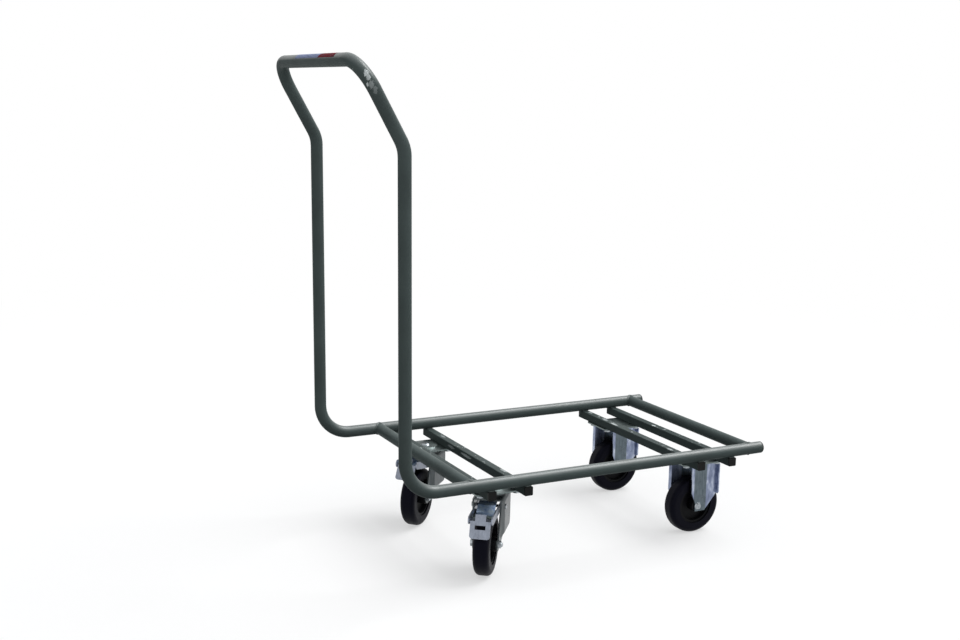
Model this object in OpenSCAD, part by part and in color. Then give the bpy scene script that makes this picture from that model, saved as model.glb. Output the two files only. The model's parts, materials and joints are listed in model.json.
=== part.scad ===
// Crate trolley: bent round-tube frame with a raised push handle, four square cross bars,
// two braked swivel casters at the handle end and two fixed casters at the front.
// Millimetres, Z up, floor at z = 0, +X is the front, +Y is the left side.

/* [Frame] */
// Outer diameter of the bent frame tube and of the two round cross tubes
rail_d = 25; // [18:0.5:34]
// Wall of the round tubes
rail_wall = 1.5; // [1:0.1:3]
// Distance between the axes of the two side rails
track = 460; // [380:5:600]
// From the foot of the uprights to the front end of the rail tubes
rail_len = 830; // [700:5:1100]
// Overall height of the push handle
handle_h = 1000; // [850:5:1200]
// Height at which the uprights bend back
knee_h = 836; // [600:2:900]
// Backward lean of the uprights, degrees
lean = 0.6; // [0:0.1:4]
// Backward slant of the handle above the knee, degrees from vertical
slant = 29.5; // [10:0.5:45]
// Centre-line radius of the bends at the foot
foot_r = 66; // [45:1:90]
// Centre-line radius of the bends at the knee
knee_r = 60; // [45:1:120]
// Centre-line radius of the two handle corners
corner_r = 60; // [45:1:100]
// From the foot of the uprights to the rear cross tube
rear_tube_x = 136; // [110:1:160]
// From the foot of the uprights to the front cross tube
front_tube_x = 801; // [770:1:820]

/* [Cross bars] */
// Outside of the square tube
bar_w = 18; // [16:0.5:25]
// Wall of the square tube
bar_wall = 1.5; // [1:0.1:2.5]
// Outer corner radius of the square tube
bar_r = 2; // [1:0.1:3]
// Overall length of a cross bar over its end caps
bar_len = 480; // [400:5:640]
// From the foot of the uprights to the middle of the rear pair of bars
rear_pair_x = 218; // [190:1:260]
// From the foot of the uprights to the middle of the front pair of bars
front_pair_x = 712; // [660:1:730]
// Thickness of the flange of an end cap
cap_t = 3; // [1.5:0.5:5]
// Length of the plug of an end cap inside its tube
cap_plug = 12; // [6:1:25]
// Height of the rounded head of a rail end plug
plug_head = 4; // [2:0.5:8]
// Length of the shank of a rail end plug
plug_shank = 16; // [8:1:30]
// Clearance of a plug in its tube, all round
plug_gap = 0.1; // [0.05:0.05:0.5]
// Throat of the weld beads
weld = 1.8; // [1:0.1:3]
// Clearance of a coped tube end and of a weld bead from the tube that it meets
weld_gap = 0.05; // [0.02:0.01:0.2]

/* [Casters] */
// Overall height of a caster, floor to top of plate
caster_h = 164; // [160:1:190]
// Wheel diameter
wheel_d = 125; // [100:1:130]
// Width of the tyre
tyre_w = 33; // [28:0.5:36]
// Radial thickness of the tyre
tyre_t = 22; // [12:0.5:26]
// Distance of the swivel casters from the middle plane of the trolley
rear_caster_y = 158.5; // [135:0.5:175]
// Distance of the fixed casters from the middle plane of the trolley
front_caster_y = 156; // [135:0.5:175]
// Length of the top plates, along X
plate_l = 105; // [100:1:120]
// Width of the top plates, along Y
plate_w = 85; // [78:1:110]
// Sheet thickness of the top plates
plate_t = 3; // [2:0.5:4]
// Corner radius of the top plates
plate_r = 9; // [3:0.5:12]
// Bolt spacing along X, which is also the spacing of the two bars of a pair
hole_x = 80; // [76:1:84]
// Bolt spacing along Y
hole_y = 60; // [50:1:62]
// Sheet thickness of the forks
fork_t = 3; // [2:0.25:4]
// Clearance between a hub end and the fork, each side
hub_gap = 0.3; // [0.1:0.05:1]
// Length of the wheel hub
hub_l = 44; // [40:0.5:50]
// Diameter of the hub
hub_d = 28; // [24:0.5:34]
// Diameter of the axle sleeve
sleeve_d = 12; // [10:0.5:14]
// Running clearance of a bore on its pin, radial
run_gap = 0.06; // [0.02:0.01:0.1]
// Diameter of the axle bolt
axle_d = 8; // [6:0.5:9]

/* [Fixed casters] */
// Gap between the hub and the inside of the step of a fixed fork leg
step_gap = 1; // [0.6:0.2:6]
// Reach of the flange of the right leg, ahead of the axle
flange_front = 51; // [35:1:52]
// Reach of the flange of the left leg, behind the axle
flange_rear = 41; // [32:1:52]
// Depth by which a flange lies inside the raised middle of its leg
flange_in = 2.75; // [1:0.25:3.5]
// Height at which the edge of a flange turns towards the axle
flange_z = 89; // [75:1:120]
// Depth of the stiffening lip at the edge of a flange
lip = 7; // [1:0.5:10]
// Height at which the plain edge of a leg turns towards the axle
edge_z = 93; // [80:1:120]
// Height of the lower tip of a leg
tip_z = 51.5; // [45:0.5:54]
// Half width of the tip on the plain side
tip_back = 8; // [7:0.5:14]
// Half width of the tip on the flange side
tip_front = 20; // [14:0.5:24]

/* [Swivel casters] */
// Rest angle of the right swivel fork, degrees
right_turn = 52; // [0:1:360]
// Rest angle of the left swivel fork, degrees
left_turn = 44; // [0:1:360]
// Distance of the axle behind the king pin
trail = 48; // [35:1:52]
// Half length of the fork crown, along the wheel
crown_x = 38; // [32:0.5:42]
// Half width of the fork crown over its legs
crown_y = 33; // [30:0.5:36]
// Outer bend radius where the crown turns into the legs
crown_r = 7; // [4:0.5:9]
// Height of the top of the crown sheet
crown_z = 150; // [147:0.5:151]
// Height at which the wide upper part of the legs ends
wide_z = 80; // [78:1:96]
// Height at which the narrow lower part of the legs starts
narrow_z = 70.5; // [70:0.5:76]
// Height at which the front edge of the legs starts to curve towards the axle
nose_z = 98; // [90:1:115]
// Radius of that curve
nose_r = 28; // [10:1:40]
// Half width of the fork over the rear edges of its legs, which lean in
heel_y = 28; // [27.5:0.25:30]
// Distance behind the king pin at which the legs start to lean in
lean_x = 26; // [25:1:32]
// Height at which the rear edge of the legs turns towards the axle
heel_z = 118; // [105:1:130]
// Reach of the rear edge of the legs behind the crown at that height
heel_x = 8; // [2:0.5:12]
// Radius of the leg end round the axle
leg_r = 13; // [11:0.5:15]
// Diameter of the king pin
king_d = 12; // [10:0.5:16]
// Diameter of a bearing ball
ball_d = 6; // [5:0.5:7]
// Radius of the ball circle
ball_ring_r = 21; // [18:0.5:23]
// Number of balls
ball_n = 16; // [10:1:18]

/* [Brake] */
// Distance of the brake pivot behind the king pin
pivot_x = 20; // [18:0.5:24]
// Height of the brake pivot
pivot_z = 132; // [131:0.5:133]
// Diameter of the brake pivot pin
pivot_d = 6; // [4:0.5:7]
// Sheet thickness of the brake pedal
pedal_t = 2.5; // [1.5:0.25:3]
// Angle of a released brake pedal above its locked place
pedal_free = 14; // [8:1:15]
// Whether the right brake pedal rests released
right_released = false; // [true, false]
// Whether the left brake pedal rests released
left_released = true; // [true, false]
// Half width of the pedal over its side arms
arm_y = 24; // [23:0.25:24.5]
// Width of the pedal plate
pedal_w = 40; // [30:1:50]
// Distance of the upper edge of the pedal plate behind the king pin
pedal_x = 108; // [106:1:116]
// Distance of the lower edge of the pedal plate behind the king pin
pedal_foot_x = 119; // [114:1:130]
// Height of the upper edge of the pedal plate
pedal_z = 128; // [122:0.5:130]
// Height of the lower edge of the pedal plate
pedal_foot_z = 96; // [80:1:100]
// Depth of the shelf between the pedal plate and the side arms
shelf = 17; // [8:1:20]
// Width of the slot in the pedal plate and of the tab bent out of it
slot_w = 21; // [12:1:26]
// Height of the slot in the pedal plate
slot_h = 8; // [5:0.5:12]
// Height of the release tab
tab_h = 13; // [6:0.5:18]
// Gap between the brake shoe and the tyre when locked
shoe_gap = 1; // [0.5:0.1:3]
// Thickness of the brake shoe
shoe_t = 3; // [2:0.5:5]
// Width of the return spring leaf
leaf_w = 36; // [10:1:40]
// Thickness of the return spring leaf
leaf_t = 1.2; // [0.6:0.1:2]

/* [Fasteners] */
// Diameter of the plate bolts
bolt_d = 8; // [6:0.5:10]
// Length of a slotted hole in the top plates
slot_len = 11; // [9:0.5:14]
// Clearance of the plate bolts in the plates, radial
bolt_gap = 0.3; // [0.1:0.05:0.6]
// Width across flats of the plate bolt heads
bolt_af = 13; // [10:0.5:17]
// Height of the plate bolt heads
bolt_head = 5.3; // [3:0.1:8]
// Outer diameter of a rivet nut
insert_d = 11; // [9.5:0.25:13]
// Diameter of the bulb that holds a rivet nut inside its bar
insert_bulb = 13.2; // [12:0.2:14]
// Length of a rivet nut
insert_l = 13; // [8:0.5:15]
// Width across flats of the axle nuts
nut_af = 13; // [10:0.5:17]
// Height of the axle nuts, dome included
nut_h = 8.5; // [5:0.5:12]

/* [Display] */
// Sub-part to draw

/* [Hidden] */
$fn = 96;
hex_fn = 6;
right = -1;
left = 1;
rail_z = caster_h + bar_w + rail_d / 2;
bar_z = caster_h + bar_w / 2;
bar_axis_z = handle_h - rail_d / 2;
knee_x = -(knee_h - rail_z) * tan(lean);
handle_x = knee_x - (bar_axis_z - knee_h) * tan(slant);
x_mid = (handle_x - rail_d / 2 + rail_len + plug_head) / 2;
turn_foot = 90 - lean;
turn_knee = slant - lean;
tan_foot = foot_r * tan(turn_foot / 2);
tan_knee = knee_r * tan(turn_knee / 2);
run_rail = rail_len - tan_foot;
run_up = (knee_h - rail_z) / cos(lean) - tan_foot - tan_knee;
run_slant = (bar_axis_z - knee_h) / cos(slant) - tan_knee - corner_r;
run_grip = track - 2 * corner_r;
tube_id = rail_d - 2 * rail_wall;
bar_in = bar_w - 2 * bar_wall;
wheel_r = wheel_d / 2;
rim_r = wheel_r - tyre_t;
plate_z = caster_h - plate_t;
bend_rise = 0.1;
bend_lap = 0.5;
leg_in = hub_l / 2 + hub_gap;
leg_out = leg_in + fork_t;
crown_in = crown_y - fork_t;
rib_x = hub_d / 2 + step_gap + fork_t;
flange_y = leg_out - flange_in - fork_t;
dome_r = 30;
dome_h = 3;
race_w = 5;
ball_z = (crown_z + plate_z) / 2 + 1;
race_gap = 0.1;
face_gap = 0.3;
cup_r = 18;
cup_h = 3.5;
king_nut_h = 6;
shoe_r = wheel_r + shoe_gap;
shoe_from = 76;
shoe_span = 38;
leaf_x = 27;
leaf_flat = 4;
leaf_bevel = 0.36 * leaf_t;
bar_xs = [rear_pair_x - hole_x / 2, rear_pair_x + hole_x / 2,
          front_pair_x - hole_x / 2, front_pair_x + hole_x / 2];
pair_xs = [rear_pair_x, front_pair_x];
pair_ys = [rear_caster_y, front_caster_y];
bar_ys = [rear_caster_y, rear_caster_y, front_caster_y, front_caster_y];

// Point where the line from p touches the circle of radius r round c; side is 1 or -1
function touch(p, c, r, side) =
  let (v = p - c, d = norm(v), a = acos(r / d), b = atan2(v[1], v[0]) + side * a)
  c + r * [cos(b), sin(b)];

// Angle of a pedal above its locked place
function lift(side) = (side == right ? right_released : left_released) ? pedal_free : 0;

// Places
module placed() {
  translate([-x_mid, 0, 0]) children();
}
module at_rear(side) {
  placed() translate([rear_pair_x, side * rear_caster_y, 0]) children();
}
module at_swivel(side) {
  at_rear(side) rotate([0, 0, side == right ? right_turn : left_turn]) children();
}
module at_front(side) {
  placed() translate([front_pair_x, side * front_caster_y, 0]) children();
}
module both_ways() {
  children();
  mirror([0, 1, 0]) children();
}
// Cylinder along Y from y0, length l
module rod(d, l, y0) {
  translate([0, y0, 0]) rotate([-90, 0, 0]) cylinder(d = d, h = l);
}
// Hexagon along Y from y0
module hex_rod(af, l, y0) {
  translate([0, y0, 0]) rotate([-90, 0, 0])
    cylinder(d = af / cos(30), h = l, $fn = hex_fn);
}
// XZ outline as a sheet between y0 and y0 + l
module slab(l, y0) {
  translate([0, y0 + l, 0]) rotate([90, 0, 0]) linear_extrude(l) children();
}
module rounded(w, h, r) {
  difference() {
    square([w, h], center = true);
    for (a = [-1, 1])
      for (b = [-1, 1])
        translate([a * w / 2, b * h / 2]) square(2 * r, center = true);
  }
  for (a = [-1, 1])
    for (b = [-1, 1])
      translate([a * (w / 2 - r), b * (h / 2 - r)]) circle(r = r);
}

// Bent frame tube. Each straight run laps a little way into the wall of its bends
module ring(rise) {
  difference() {
    circle(d = rail_d + 2 * rise);
    circle(d = tube_id - 2 * rise);
  }
}
module straight(l, before = 0, after = 0) {
  translate([0, 0, -before]) linear_extrude(before + l + after) ring(0);
}
// Bend that starts along +Z at the origin and turns towards +X
module bend(r, a) {
  translate([r, 0, 0]) rotate([0, 0, 180]) rotate([90, 0, 0])
    rotate_extrude(angle = a) translate([r, 0]) ring(bend_rise);
}
module after_bend(r, a) {
  translate([r * (1 - cos(a)), 0, r * sin(a)]) rotate([0, a, 0]) children();
}
module frame_side(grip) {
  translate([rail_len, -track / 2, rail_z]) rotate([0, -90, 0]) {
    straight(run_rail, 0, bend_lap);
    translate([0, 0, run_rail]) {
      bend(foot_r, turn_foot);
      after_bend(foot_r, turn_foot) {
        straight(run_up, bend_lap, bend_lap);
        translate([0, 0, run_up]) rotate([0, 0, 180]) {
          bend(knee_r, turn_knee);
          after_bend(knee_r, turn_knee) {
            straight(run_slant, bend_lap, bend_lap);
            translate([0, 0, run_slant]) rotate([0, 0, -90]) {
              bend(corner_r, 90);
              if (grip) after_bend(corner_r, 90) straight(run_grip, bend_lap, bend_lap);
            }
          }
        }
      }
    }
  }
}
module push_frame() {
  color("#3d4a47") placed() {
    frame_side(true);
    mirror([0, 1, 0]) frame_side(false);
  }
}

// Round cross tubes, coped onto the rails
module cross_tube(x) {
  placed() difference() {
    translate([x, -track / 2, rail_z]) rotate([-90, 0, 0]) straight(track);
    for (s = [-1, 1])
      translate([x - rail_d, s * track / 2, rail_z]) rotate([0, 90, 0])
        cylinder(d = rail_d + 2 * weld_gap, h = 2 * rail_d);
  }
}
module rear_cross_tube() {
  color("#46544f") cross_tube(rear_tube_x);
}
module front_cross_tube() {
  color("#46544f") cross_tube(front_tube_x);
}

// Square cross bars with holes for the rivet nuts
module cross_bar(k) {
  color("#3a4644") placed() difference() {
    translate([bar_xs[k], -bar_len / 2 + cap_t, bar_z]) rotate([-90, 0, 0])
      linear_extrude(bar_len - 2 * cap_t) difference() {
        rounded(bar_w, bar_w, bar_r);
        rounded(bar_in, bar_in, bar_r / 2);
      }
    for (s = [-1, 1])
      for (h = [-1, 1])
        translate([bar_xs[k], s * bar_ys[k] + h * hole_y / 2, bar_z - bar_w])
          cylinder(d = insert_d + 2 * run_gap, h = bar_w);
  }
}
module cross_bar_1() { cross_bar(0); }
module cross_bar_2() { cross_bar(1); }
module cross_bar_3() { cross_bar(2); }
module cross_bar_4() { cross_bar(3); }

// Weld beads: collars at the round cross tubes, fillets where a rail lies on a square bar
module weld_collar(x) {
  difference() {
    translate([x, -track / 2, rail_z])
      rod(rail_d + 2 * weld, rail_d / 2 + weld, 0);
    translate([x, -track / 2, rail_z]) rod(rail_d + 2 * weld_gap, rail_d + weld, 0);
    translate([x - 2 * rail_d, -track / 2, rail_z]) rotate([0, 90, 0])
      cylinder(d = rail_d + 2 * weld_gap, h = 4 * rail_d);
  }
}
module weld_fillet(x) {
  reach = sqrt(pow(rail_d / 2, 2) - pow(rail_d / 2 - weld, 2));
  difference() {
    translate([x - bar_w / 2 + bar_r, -track / 2 - reach - weld / 2, rail_z - rail_d / 2 + weld_gap])
      cube([bar_w - 2 * bar_r, 2 * reach + weld, weld - weld_gap]);
    translate([x - bar_w, -track / 2, rail_z]) rotate([0, 90, 0])
      cylinder(d = rail_d + 2 * weld_gap, h = 2 * bar_w);
  }
}
module weld_beads() {
  color("#55625e") placed() both_ways() {
    weld_collar(rear_tube_x);
    weld_collar(front_tube_x);
    for (x = bar_xs) weld_fillet(x);
  }
}

// Plastic ends
module bar_end_caps() {
  color("#1c1e1f") placed() both_ways()
    for (x = bar_xs)
      translate([x, -bar_len / 2, bar_z]) rotate([-90, 0, 0]) {
        linear_extrude(cap_t) rounded(bar_w, bar_w, bar_r);
        translate([0, 0, cap_t]) linear_extrude(cap_plug) difference() {
          rounded(bar_in - 2 * plug_gap, bar_in - 2 * plug_gap, bar_r / 2);
          square(bar_in - 6, center = true);
        }
      }
}
module rail_end_plugs() {
  shank = tube_id - 2 * plug_gap;
  color("#1c1e1f") placed() both_ways()
    translate([rail_len, -track / 2, rail_z]) rotate([0, 90, 0]) {
      rotate_extrude() intersection() {
        union() {
          square([rail_d / 2, plug_head / 4]);
          translate([0, plug_head / 4]) square([rail_d / 2 - plug_head * 0.75, plug_head * 0.75]);
          translate([rail_d / 2 - plug_head * 0.75, plug_head / 4]) circle(r = plug_head * 0.75);
        }
        square([rail_d / 2, plug_head]);
      }
      translate([0, 0, -plug_shank]) difference() {
        cylinder(d = shank, h = plug_shank);
        translate([0, 0, -1]) cylinder(d = shank - 5, h = plug_shank - 2);
      }
    }
}

// Fasteners of the top plates
module at_bolts() {
  placed()
    for (i = [0, 1])
      for (s = [-1, 1])
        for (a = [-1, 1])
          for (b = [-1, 1])
            translate([pair_xs[i] + a * hole_x / 2, s * pair_ys[i] + b * hole_y / 2, 0]) children();
}
module rivet_nuts() {
  color("#b9bec4") at_bolts() translate([0, 0, caster_h + weld_gap]) difference() {
    union() {
      cylinder(d = insert_d, h = insert_l);
      translate([0, 0, bar_wall + weld_gap]) cylinder(d = insert_bulb, h = 3);
    }
    translate([0, 0, -1]) cylinder(d = bolt_d + 2 * run_gap, h = insert_l + 2);
  }
}
module plate_bolts() {
  color("#aeb4bb") at_bolts() translate([0, 0, plate_z]) {
    cylinder(d = bolt_d, h = plate_t + insert_l - 1);
    translate([0, 0, -bolt_head]) cylinder(d = bolt_af / cos(30), h = bolt_head, $fn = hex_fn);
  }
}

// Top plates
module plate_blank() {
  difference() {
    rounded(plate_l, plate_w, plate_r);
    for (a = [-1, 1])
      for (b = [-1, 1])
        translate([a * hole_x / 2, b * hole_y / 2]) {
          square([slot_len - bolt_d, bolt_d + 2 * bolt_gap], center = true);
          for (e = [-1, 1])
            translate([e * (slot_len - bolt_d) / 2, 0]) circle(r = bolt_d / 2 + bolt_gap);
        }
  }
}
module front_plate(side) {
  color("#a3adb5") at_front(side) translate([0, 0, plate_z]) linear_extrude(plate_t) plate_blank();
}
module swivel_plate(side) {
  color("#a3adb5") at_rear(side) difference() {
    union() {
      translate([0, 0, plate_z]) linear_extrude(plate_t) plate_blank();
      translate([0, 0, caster_h - 0.5]) cylinder(r1 = dome_r, r2 = dome_r - dome_h, h = dome_h + 0.5);
      translate([0, 0, ball_z + race_gap])
        cylinder(r = ball_ring_r + race_w, h = plate_z - ball_z);
    }
    translate([0, 0, ball_z - 1])
      cylinder(r = ball_ring_r - race_w, h = caster_h + dome_h - plate_t - ball_z + 1);
    translate([0, 0, plate_z]) cylinder(d = king_d + 2 * weld_gap, h = 2 * plate_t + dome_h);
    translate([0, 0, ball_z]) rotate_extrude() translate([ball_ring_r, 0])
      circle(d = ball_d + 2 * race_gap);
  }
}
module rear_left_top_plate() { swivel_plate(left); }
module rear_right_top_plate() { swivel_plate(right); }
module front_left_top_plate() { front_plate(left); }
module front_right_top_plate() { front_plate(right); }

// King pin with its head over the plate, and its lower cup and nut under the crown
module king_pin(side) {
  under = crown_z - fork_t - face_gap;
  color("#8f989f") at_rear(side) {
    translate([0, 0, under - cup_h - king_nut_h])
      cylinder(d = king_d, h = caster_h + dome_h - under + cup_h + king_nut_h);
    translate([0, 0, caster_h + dome_h]) cylinder(r1 = king_d * 0.85, r2 = king_d * 0.6, h = 3);
    translate([0, 0, under - cup_h]) cylinder(r1 = cup_r - 3, r2 = cup_r, h = cup_h);
    translate([0, 0, under - cup_h - king_nut_h + 0.5]) cylinder(d = 19 / cos(30), h = king_nut_h, $fn = hex_fn);
  }
}
module rear_left_king_pin() { king_pin(left); }
module rear_right_king_pin() { king_pin(right); }

module balls(side) {
  color("#d9dde0") at_swivel(side)
    for (i = [0 : ball_n - 1])
      rotate([0, 0, (i + 0.5) * 360 / ball_n]) translate([ball_ring_r, 0, ball_z]) sphere(d = ball_d);
}
module rear_left_balls() { balls(left); }
module rear_right_balls() { balls(right); }

// Swivel fork: crown sheet bent down into two legs that narrow towards the axle and lean in
// at their rear edges. Each outline is the outside of the sheet, moved in by t
module fork_section(t) {
  y = [crown_y - t, leg_out - t];
  top = crown_z - crown_r;
  rise = t / fork_t * (crown_y - leg_out) / (wide_z - narrow_z);
  polygon([[-y[1], 0], [-y[1], narrow_z + rise], [-y[0], wide_z + rise], [-y[0], top],
           [y[0], top], [y[0], wide_z + rise], [y[1], narrow_z + rise], [y[1], 0]]);
  translate([-crown_y + crown_r, top]) square([2 * (crown_y - crown_r), crown_r - t]);
  for (s = [-1, 1]) translate([s * (crown_y - crown_r), top]) circle(r = crown_r - t);
}
module fork_plan(t) {
  back = -crown_x - heel_x;
  polygon([[-2 * trail, -heel_y + t], [back, -heel_y + t], [-lean_x, -crown_y + t],
           [2 * trail, -crown_y + t], [2 * trail, crown_y - t], [-lean_x, crown_y - t],
           [back, heel_y - t], [-2 * trail, heel_y - t]]);
}
module fork_body(t) {
  intersection() {
    translate([-2 * trail, 0, 0]) rotate([90, 0, 90]) linear_extrude(4 * trail) fork_section(t);
    linear_extrude(crown_z + 1) fork_plan(t);
  }
}
module fork_outline() {
  c = [-trail, wheel_r];
  f = [crown_x - nose_r, nose_z];
  b = [-crown_x - heel_x, heel_z];
  v = f - c;
  a = atan2(v[1], v[0]) - acos((leg_r - nose_r) / norm(v));
  n = [cos(a), sin(a)];
  polygon([[crown_x, crown_z + 1], [crown_x, nose_z], f + nose_r * n, c + leg_r * n, c,
           touch(b, c, leg_r, 1), b, [-crown_x, crown_z + 1]]);
  translate(f) circle(r = nose_r);
  translate(c) circle(r = leg_r);
}
module swivel_fork(side) {
  color("#98a2ac") at_swivel(side) difference() {
    union() {
      intersection() {
        difference() {
          fork_body(0);
          fork_body(fork_t);
        }
        slab(2 * crown_y + 2, -crown_y - 1) fork_outline();
      }
      translate([0, 0, crown_z - 0.5])
        cylinder(r = ball_ring_r + race_w, h = ball_z - race_gap - crown_z + 0.5);
    }
    translate([0, 0, crown_z]) cylinder(r = ball_ring_r - race_w, h = ball_z);
    translate([0, 0, crown_z - 2 * fork_t]) cylinder(d = king_d + 2 * run_gap, h = 4 * fork_t);
    translate([0, 0, ball_z]) rotate_extrude() translate([ball_ring_r, 0])
      circle(d = ball_d + 0.02);
    translate([-trail, 0, wheel_r]) rod(axle_d + 2 * run_gap, 4 * crown_y, -2 * crown_y);
    translate([-pivot_x, 0, pivot_z]) rod(pivot_d + 2 * run_gap, 4 * crown_y, -2 * crown_y);
  }
}
module rear_left_fork() { swivel_fork(left); }
module rear_right_fork() { swivel_fork(right); }

// Axle of a swivel fork
module at_axle(side) {
  at_swivel(side) translate([-trail, 0, wheel_r]) children();
}
module axle_bolt(side) {
  color("#b4bac0") at_axle(side) mirror([0, 1, 0]) {
    rod(axle_d, 2 * leg_out + nut_h - 3, -leg_out);
    hex_rod(nut_af, bolt_head, -leg_out - bolt_head);
  }
}
module axle_nut(side) {
  color("#c2c7cc") at_axle(side) mirror([0, 1, 0]) difference() {
    union() {
      hex_rod(nut_af, nut_h * 0.6, leg_out);
      translate([0, leg_out + nut_h * 0.6, 0]) rotate([-90, 0, 0])
        cylinder(r1 = nut_af * 0.46, r2 = nut_af * 0.24, h = nut_h * 0.4);
    }
    rod(axle_d + 2 * run_gap, nut_h - 2, leg_out - 0.5);
  }
}
module sleeve() {
  difference() {
    rod(sleeve_d, 2 * leg_in - 0.1, -leg_in + 0.05);
    rod(axle_d + 2 * run_gap, 2 * leg_in + 2, -leg_in - 1);
  }
}
module rear_left_axle_bolt() { axle_bolt(left); }
module rear_right_axle_bolt() { axle_bolt(right); }
module rear_left_axle_nut() { axle_nut(left); }
module rear_right_axle_nut() { axle_nut(right); }
module rear_left_axle_sleeve() { color("#9aa2a9") at_axle(left) sleeve(); }
module rear_right_axle_sleeve() { color("#9aa2a9") at_axle(right) sleeve(); }

// Wheel: rim with hub and dished webs, rounded tyre
module rim() {
  web = 8;
  color("#26282b") rotate([-90, 0, 0]) rotate_extrude() difference() {
    union() {
      translate([sleeve_d / 2 + run_gap, -hub_l / 2]) square([(hub_d - sleeve_d) / 2 - run_gap, hub_l]);
      translate([sleeve_d / 2 + 1, -web / 2]) square([rim_r - sleeve_d / 2 - 2, web]);
      translate([rim_r - 5, -tyre_w / 2 + 3]) square([5, tyre_w - 6]);
    }
  }
}
module tyre() {
  crown = 10;
  color("#17181a") rotate([-90, 0, 0]) rotate_extrude() intersection() {
    translate([rim_r, -tyre_w / 2]) square([tyre_t, tyre_w]);
    union() {
      translate([rim_r, -tyre_w / 2]) square([tyre_t - crown, tyre_w]);
      translate([rim_r, -tyre_w / 2 + crown]) square([tyre_t, tyre_w - 2 * crown]);
      for (s = [-1, 1])
        translate([wheel_r - crown, s * (tyre_w / 2 - crown)]) circle(r = crown);
    }
  }
}
module rear_left_rim() { at_axle(left) rim(); }
module rear_right_rim() { at_axle(right) rim(); }
module rear_left_tyre() { at_axle(left) tyre(); }
module rear_right_tyre() { at_axle(right) tyre(); }

// Brake pedal: two side arms on the pivot, a bridge behind the wheel and the foot plate
module arm_outline() {
  p = [-pivot_x, pivot_z];
  e = [-pedal_x + 2, pedal_z + 1];
  difference() {
    union() {
      translate(p) circle(r = 8);
      translate(e) circle(r = 8);
      polygon([touch(e, p, 8, -1), touch(p, e, 8, 1), touch(p, e, 8, -1), touch(e, p, 8, 1)]);
    }
    translate(p) circle(r = pivot_d / 2 + run_gap);
  }
}
module foot_plate() {
  run = [-(pedal_foot_x - pedal_x), pedal_foot_z - pedal_z];
  long = norm(run);
  tilt = atan2(pedal_foot_x - pedal_x, pedal_z - pedal_foot_z);
  translate([-pedal_x, 0, pedal_z]) rotate([0, tilt, 0]) {
    translate([-pedal_t / 2, 0, -long]) rotate([90, 0, 90]) linear_extrude(pedal_t) difference() {
      union() {
        translate([-pedal_w / 2, 6]) square([pedal_w, long - 6]);
        translate([-pedal_w / 2 + 6, 0]) square([pedal_w - 12, long]);
        for (s = [-1, 1]) translate([s * (pedal_w / 2 - 6), 6]) circle(r = 6);
      }
      translate([-slot_w / 2, long - slot_h - 8]) square([slot_w, slot_h]);
    }
    translate([-pedal_t / 2, -slot_w / 2, -1]) cube([pedal_t, slot_w, tab_h + 1]);
  }
}
// Turns what is drawn with the pedal at the angle drawn to where the pedal rests
module at_pedal(side, drawn = 0) {
  at_swivel(side) translate([-pivot_x, 0, pivot_z]) rotate([0, lift(side) - drawn, 0])
    translate([pivot_x, 0, -pivot_z]) children();
}
module brake_pedal(side) {
  color("#aab3bd") at_pedal(side) {
    both_ways() slab(pedal_t, arm_y - pedal_t) arm_outline();
    translate([-pedal_x - pedal_t / 2, -arm_y + 0.5, pedal_z - pedal_t])
      cube([shelf, 2 * arm_y - 1, pedal_t]);
    foot_plate();
  }
}
module rear_left_brake_pedal() { brake_pedal(left); }
module rear_right_brake_pedal() { brake_pedal(right); }

// Brake shoe: plate curved round the wheel, held between the pedal arms
module brake_shoe(side) {
  color("#8d969f") at_pedal(side) translate([-trail, 0, wheel_r]) intersection() {
    rotate([90, 0, 0]) rotate([0, 0, shoe_from]) translate([0, 0, -arm_y + pedal_t + weld_gap])
      rotate_extrude(angle = shoe_span) translate([shoe_r, 0])
        square([shoe_t, 2 * (arm_y - pedal_t - weld_gap)]);
    translate([-wheel_r, -arm_y, 0]) cube([2 * wheel_r, 2 * arm_y, 2 * wheel_r]);
  }
}
module rear_left_brake_shoe() { brake_shoe(left); }
module rear_right_brake_shoe() { brake_shoe(right); }

module pivot_pin(side) {
  color("#b9bec4") at_swivel(side) translate([-pivot_x, 0, pivot_z]) {
    rod(pivot_d, 2 * crown_y + 2, -crown_y - 1);
    rod(pivot_d + 4, 2, -crown_y - 2);
    rod(pivot_d + 4, 2, crown_y);
  }
}
module rear_left_pivot_pin() { pivot_pin(left); }
module rear_right_pivot_pin() { pivot_pin(right); }

// Spring leaf on the brake shoe, which meets the crown of the fork when the pedal is released
module leaf_spring(side) {
  z = crown_z - fork_t - face_gap;
  a = [-crown_x - leaf_flat, z];
  b = [-pivot_x - (trail - pivot_x) * cos(pedal_free) - (pivot_z - wheel_r) * sin(pedal_free),
       pivot_z + (trail - pivot_x) * sin(pedal_free) - (pivot_z - wheel_r) * cos(pedal_free)
         + shoe_r + shoe_t + weld_gap];
  color("#8fa3c4") at_pedal(side, pedal_free) slab(leaf_w, -leaf_w / 2)
    polygon([[-leaf_x, z], [-leaf_x, z - leaf_t], a - [0, leaf_t], b + [leaf_flat, 0],
             b - [leaf_flat, 0], b + [-leaf_flat, leaf_t], b + [leaf_flat - leaf_bevel, leaf_t],
             a - [leaf_bevel, 0]]);
}
module rear_left_leaf_spring() { leaf_spring(left); }
module rear_right_leaf_spring() { leaf_spring(right); }

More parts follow.
